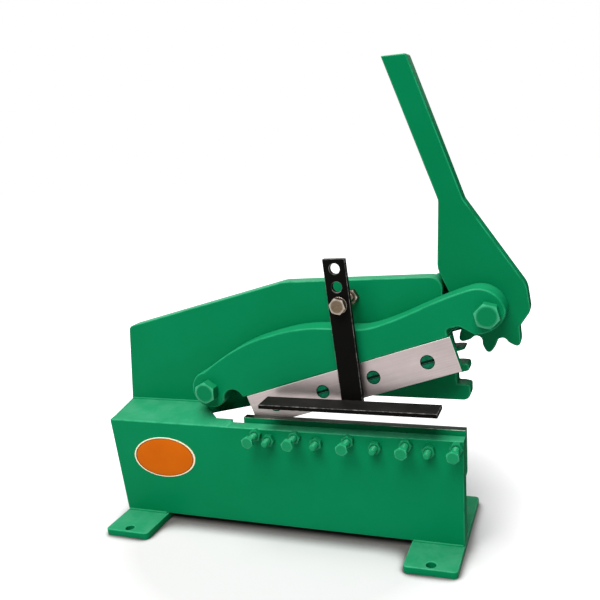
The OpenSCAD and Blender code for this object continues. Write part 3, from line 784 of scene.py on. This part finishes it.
# blank oval badge on the front plate; each ring has its share of the half sizes, height in mm and coat
badgeSettings = {
    "centre": (-152, plateFront, 89), "half": (43.8, 27.0), "turn": math.radians(4.5), "around": 96,
    "rings": ((1.0, 0.0, 0), (0.997, 0.45, 0), (0.988, 0.6, 0), (0.950, 0.6, 0), (0.940, 0.42, 1),
              (0.915, 0.42, 1), (0.90, 0.5, 2), (0.6, 0.62, 2), (0.3, 0.68, 2)),
}
orangeLook = {
    "deep": (0.52, 0.100, 0.002, 1), "light": (0.60, 0.124, 0.003, 1),
    "edge": (0.58, 0.13, 0.012, 1), "dustAndSheen": (0.75, 0.4, 0.2, 1),
    "roughness": (0.28, 0.36), "ior": 1.45, "gloss": (0.03, 0.15),
    "peel": 300.0, "cloud": 16.0, "peelStrength": 0.2, "peelDepth": 0.06,
    "wearAndLightScale": 60.0, "wearAndLightAmount": 0.2, "dustAndSheenAmount": 0.1,
}
creamLook = {
    **orangeLook,
    "deep": (0.80, 0.68, 0.47, 1), "light": (0.88, 0.77, 0.57, 1), "edge": (0.9, 0.8, 0.6, 1),
}
umberLook = {
    **orangeLook,
    "deep": (0.16, 0.045, 0.010, 1), "light": (0.22, 0.06, 0.014, 1), "edge": (0.2, 0.06, 0.02, 1),
}


def buildBadge():
    bm = bmesh.new()
    centre = Vector(badgeSettings["centre"]) * mm
    wide, tall = (h * mm for h in badgeSettings["half"])
    around = badgeSettings["around"]
    rings = badgeSettings["rings"]
    lean = Matrix.Rotation(-badgeSettings["turn"], 3, "Y")
    angles = [2 * math.pi * i / around for i in range(around)]
    rows = []
    for share, height, _ in rings:
        ring = [Vector((wide * share * math.cos(a), -height * mm, tall * share * math.sin(a))) for a in angles]
        rows.append([bm.verts.new(centre + lean @ place) for place in ring])
    for outer, inner, (_, _, coat) in zip(rows, rows[1:], rings[1:]):
        for i in range(around):
            j = (i + 1) % around
            bm.faces.new((outer[i], outer[j], inner[j], inner[i])).material_index = coat
    bm.faces.new(rows[-1]).material_index = rings[-1][2]
    bm.faces.new(list(reversed(rows[0]))).material_index = rings[0][2]
    bmesh.ops.recalc_face_normals(bm, faces=bm.faces)
    enamels = [paint("badgeCream", creamLook), paint("badgeUmber", umberLook), paint("badgeOrange", orangeLook)]
    badge = newPiece("ovalBadge", toMesh("ovalBadge", bm), enamels)
    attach(badge, "base")


buildBadge()
print("badge made")


# pale floor, studio light and the camera, in metres
stageSettings = {
    "floorHalf": 8.0, "floorColour": (0.56, 0.56, 0.56, 1), "floorFade": (0.19, 0.48),
    "contact": 0.038, "contactSamples": 16, "contactSpan": (0.60, 0.88), "contactShade": (0.10, 0.095, 0.09, 1),
    "ambient": 0.08, "cardColour": (0.01, 0.01, 0.01, 1),
    "cards": (((0.20, 0.30, 0.0), (1.3, 0.30, 0.0), (1.3, 0.30, 0.9), (0.20, 0.30, 0.9)),
              ((0.226, -0.3, 0.004), (1.3, -0.3, 0.004), (1.3, 0.30, 0.004), (0.226, 0.30, 0.004))),
}
lampSettings = {
    "overhead": {"place": (-0.08, 0.10, 2.8), "aim": (0.0, 0.0, 0.1), "size": 1.1, "power": 37.0},
    "frontFill": {"place": (-0.10, -2.03, 3.72), "aim": (0.0, 0.0, 0.2), "size": 2.8, "power": 251.0},
}


# white for what is seen or mirrored, without lighting the machine
def lookRay(tree):
    path = addNode(tree, "ShaderNodeLightPath").outputs
    seen = calc(tree, "ADD", path["Is Camera Ray"], path["Is Glossy Ray"])
    return addNode(tree, "ShaderNodeClamp", {0: calc(tree, "ADD", seen, path["Is Transmission Ray"])}).outputs[0]


def buildFloor():
    half = stageSettings["floorHalf"]
    mesh = bpy.data.meshes.new("paleFloor")
    mesh.from_pydata([(-half, -half, 0), (half, -half, 0), (half, half, 0), (-half, half, 0)], [], [(0, 1, 2, 3)])
    material = bpy.data.materials.new("paleFloor")
    material.use_nodes = True
    tree = material.node_tree
    tree.nodes.remove(tree.nodes["Principled BSDF"])
    close = addNode(tree, "ShaderNodeAmbientOcclusion", {"Distance": stageSettings["contact"]},
                    samples=stageSettings["contactSamples"]).outputs["AO"]
    openness = spread(tree, close, *stageSettings["contactSpan"])
    dimmed = blendColour(tree, openness, stageSettings["contactShade"], stageSettings["floorColour"])
    matte = addNode(tree, "ShaderNodeBsdfDiffuse", {"Color": dimmed})
    away = addNode(tree, "ShaderNodeVectorMath", {0: objectPlace(tree)}, operation="LENGTH").outputs["Value"]
    fade = spread(tree, away, *stageSettings["floorFade"])
    glow = addNode(tree, "ShaderNodeEmission", {"Strength": calc(tree, "MULTIPLY", lookRay(tree), fade)})
    both = addNode(tree, "ShaderNodeAddShader", {0: matte.outputs[0], 1: glow.outputs[0]})
    plug(tree, both.outputs[0], tree.nodes["Material Output"].inputs["Surface"])
    floor = newPiece("paleFloor", mesh, [material])


def buildCard():
    corners = [corner for card in stageSettings["cards"] for corner in card]
    mesh = bpy.data.meshes.new("darkCard")
    mesh.from_pydata(corners, [], [tuple(range(i, i + 4)) for i in range(0, len(corners), 4)])
    matte = newMaterial("darkCard", Roughness=1.0, Base_Color=stageSettings["cardColour"])[0]
    card = newPiece("darkCard", mesh, [matte])
    card.visible_camera = card.visible_diffuse = card.visible_shadow = False  # only reflections see it


def buildWorld():
    world = bpy.data.worlds.new("studio")
    scene.world = world
    world.use_nodes = True
    tree = world.node_tree
    tree.nodes.clear()
    ambient = addNode(tree, "ShaderNodeBackground", {0: (1, 1, 1, 1), 1: stageSettings["ambient"]})
    white = addNode(tree, "ShaderNodeBackground", {0: (1, 1, 1, 1), 1: 1.0})
    mixed = addNode(tree, "ShaderNodeMixShader", {0: lookRay(tree), 1: ambient.outputs[0], 2: white.outputs[0]})
    end = addNode(tree, "ShaderNodeOutputWorld")
    plug(tree, mixed.outputs[0], end.inputs[0])


def buildLamps():
    for name, lamp in lampSettings.items():
        data = bpy.data.lights.new(name, "AREA")
        data.size = lamp["size"]
        data.energy = lamp["power"]
        holder = bpy.data.objects.new(name, data)
        scene.collection.objects.link(holder)
        holder.location = lamp["place"]
        ahead = Vector(lamp["aim"]) - Vector(lamp["place"])
        holder.rotation_euler = ahead.to_track_quat("-Z", "Y").to_euler()


cameraSettings = {
    "place": (0.3302755, -0.7174425, 0.4502985), "yaw": 0.3525, "pitch": 0.3239, "roll": -0.0796,
    "lens": 42.352, "sensor": 36.0, "shift": (-0.0531, 0.1258), "clip": (0.01, 100.0),
}


def buildCamera():
    yaw, pitch, roll = (cameraSettings[k] for k in ("yaw", "pitch", "roll"))
    ahead = Vector((-math.sin(yaw) * math.cos(pitch), math.cos(yaw) * math.cos(pitch), -math.sin(pitch)))
    level = Vector((math.cos(yaw), math.sin(yaw), 0))
    over = level.cross(ahead)
    right = math.cos(roll) * level + math.sin(roll) * over
    up = math.cos(roll) * over - math.sin(roll) * level
    data = bpy.data.cameras.new("photoCamera")
    data.lens = cameraSettings["lens"]
    data.sensor_width = cameraSettings["sensor"]
    data.shift_x, data.shift_y = cameraSettings["shift"]
    data.clip_start, data.clip_end = cameraSettings["clip"]
    holder = bpy.data.objects.new("photoCamera", data)
    scene.collection.objects.link(holder)
    turn = Matrix((right, up, -ahead)).transposed().to_4x4()
    holder.matrix_world = Matrix.Translation(Vector(cameraSettings["place"])) @ turn
    scene.camera = holder


buildFloor()
buildCard()
buildWorld()
buildLamps()
buildCamera()
scene.view_settings.view_transform = "Standard"
print("stage set")
